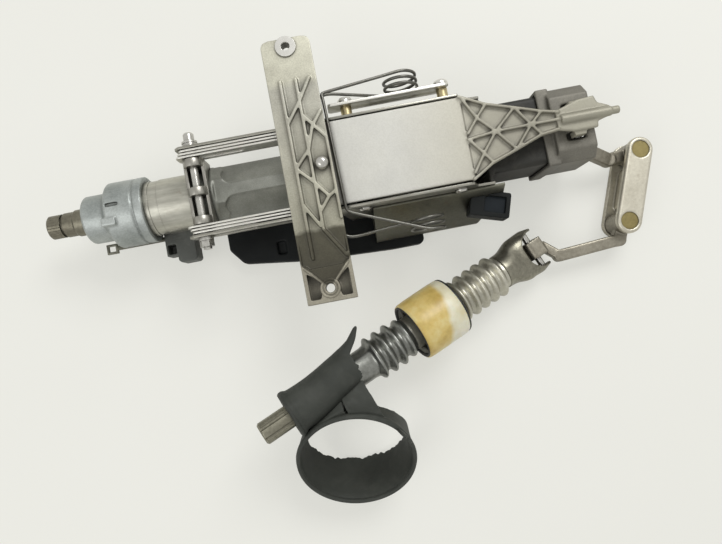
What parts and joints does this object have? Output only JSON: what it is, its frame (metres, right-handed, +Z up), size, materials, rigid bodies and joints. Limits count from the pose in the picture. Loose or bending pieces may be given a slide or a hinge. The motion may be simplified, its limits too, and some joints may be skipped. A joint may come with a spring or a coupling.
{
  "type": "steering column",
  "caption": "Steering column with a friction clamp for height and reach, a ribbed crossmember with bolt seats, and a jointed lower shaft folded back beside it",
  "frame": {"origin": "midway between the two bolt holes of the crossmember, on the face the bolt heads seat on", "axes": "+X runs down the steering shaft from the wheel end to the tail, +Y across the column to its far side, +Z up out of the bolt seats"},
  "size_m": [0.5359, 0.393, 0.108],
  "materials": {
    "cast_alloy": "bead-blasted die casting, dull grey",
    "worn_steel": "bare pressed steel with handling marks",
    "machined_steel": "turned steel, lightly oiled",
    "white_zinc": "bright zinc plating",
    "yellow_zinc": "yellow chromate over zinc",
    "forged_steel": "forged steel with light rust",
    "black_moulding": "moulded black plastic, dusty",
    "black_paint": "black paint on a casting",
    "spring_steel": "oiled spring wire",
    "grey_rubber": "aged black rubber, torn",
    "seal_rubber": "black rubber rings",
    "ochre_bush": "ochre and cream moulding",
    "blue_moulding": "bluish moulding"
  },
  "bodies": {
    "bracket": {"crossmember": "cast_alloy", "console": "cast_alloy", "bracket_stud": "white_zinc", "seat_washer": "white_zinc", "balance_spring": "spring_steel"},
    "tilt_frame": {"side_frame": "worn_steel", "guide_shoes": "black_moulding", "far_strips": "worn_steel", "near_strips": "worn_steel", "strip_rivets": "white_zinc", "outer_strip": "worn_steel", "shouldered_studs": "white_zinc", "stud_spacers": "yellow_zinc", "near_rivets": "white_zinc", "rear_box": "black_paint", "end_carrier": "cast_alloy", "bearing_plate": "worn_steel", "rear_bearing": "machined_steel", "pivot_pin": "machined_steel", "side_cover": "worn_steel", "connector": "black_moulding", "connector_insert": "blue_moulding", "under_tray": "black_moulding", "tray_bracket": "worn_steel"},
    "telescoping_jacket": {"jacket_tube": "cast_alloy", "outer_tube": "machined_steel", "front_housing": "cast_alloy", "housing_bearing": "machined_steel", "clamp_saddle": "worn_steel", "lock_block": "black_moulding", "lock_strap": "worn_steel"},
    "clamp_bolt": {"clamp_rod": "machined_steel", "clamp_nut": "yellow_zinc", "clamp_sleeves": "machined_steel"},
    "upper_shaft": {"wheel_shaft": "machined_steel"},
    "rear_shaft": {"rear_shaft": "machined_steel", "shaft_cups": "machined_steel"},
    "universal_cross": {"joint_cross": "forged_steel"},
    "upper_arm": {"upper_arm": "forged_steel", "arm_cups": "machined_steel"},
    "link": {"link": "forged_steel", "link_cups": "yellow_zinc", "link_pins": "machined_steel"},
    "lower_arm": {"lower_arm": "forged_steel", "ear_pin": "machined_steel"},
    "corrugated_shaft": {"corrugated_tube": "machined_steel", "guide_bush": "ochre_bush", "bush_seals": "seal_rubber"},
    "shaft_end": {"fluted_end": "machined_steel"},
    "boot": {"boot": "grey_rubber", "boot_ring": "grey_rubber"}
  },
  "joints": [
    {"name": "tilt", "type": "hinge", "parent": "bracket", "child": "tilt_frame", "pos_m": [0.221, 0, -0.016], "axis": [0, -1, 0], "range_deg": [0, 5], "deforming": ["balance_spring"]},
    {"name": "reach", "type": "slide", "parent": "tilt_frame", "child": "telescoping_jacket", "axis": [1, 0, 0], "range_m": [0, 0.04]},
    {"name": "clamp_turn", "type": "hinge", "parent": "telescoping_jacket", "child": "clamp_bolt", "pos_m": [-0.093, 0, -0.0185], "axis": [0, 1, 0], "range_deg": [0, 60]},
    {"name": "wheel_turn", "type": "hinge", "parent": "telescoping_jacket", "child": "upper_shaft", "pos_m": [-0.2, 0, -0.05], "axis": [1, 0, 0], "continuous": true},
    {"name": "steering_turn", "type": "hinge", "parent": "tilt_frame", "child": "rear_shaft", "pos_m": [0.207, 0, -0.05], "axis": [1, 0, 0], "continuous": true},
    {"name": "cross_swing", "type": "hinge", "parent": "rear_shaft", "child": "universal_cross", "pos_m": [0.207, 0, -0.05], "axis": [0, 0, 1], "range_deg": [-2, 30]},
    {"name": "arm_swing", "type": "hinge", "parent": "universal_cross", "child": "upper_arm", "pos_m": [0.207, 0, -0.05], "axis": [0.4138, 0.9104, 0], "range_deg": [-20, 4]},
    {"name": "link_swing", "type": "hinge", "parent": "upper_arm", "child": "link", "pos_m": [0.2936, -0.0253, -0.081], "axis": [0, 0, 1], "range_deg": [-3, 40]},
    {"name": "lower_arm_swing", "type": "hinge", "parent": "link", "child": "lower_arm", "pos_m": [0.2706, -0.0867, -0.081], "axis": [0, 0, 1], "range_deg": [-3, 25]},
    {"name": "ear_swing", "type": "hinge", "parent": "lower_arm", "child": "corrugated_shaft", "pos_m": [0.185, -0.096, -0.08], "axis": [0.3786, -0.9256, 0], "range_deg": [-12, 20]},
    {"name": "shaft_slide", "type": "slide", "parent": "corrugated_shaft", "child": "shaft_end", "axis": [-0.9041, -0.3698, 0.2143], "range_m": [-0.012, 0.025]},
    {"name": "boot_turn", "type": "hinge", "parent": "shaft_end", "child": "boot", "pos_m": [-0.0766, -0.203, -0.018], "axis": [-0.9041, -0.3698, 0.2143], "range_deg": [-20, 60]}
  ],
  "couplings": [
    {"joint": "wheel_turn", "follows": "steering_turn", "ratio": 1}
  ]
}
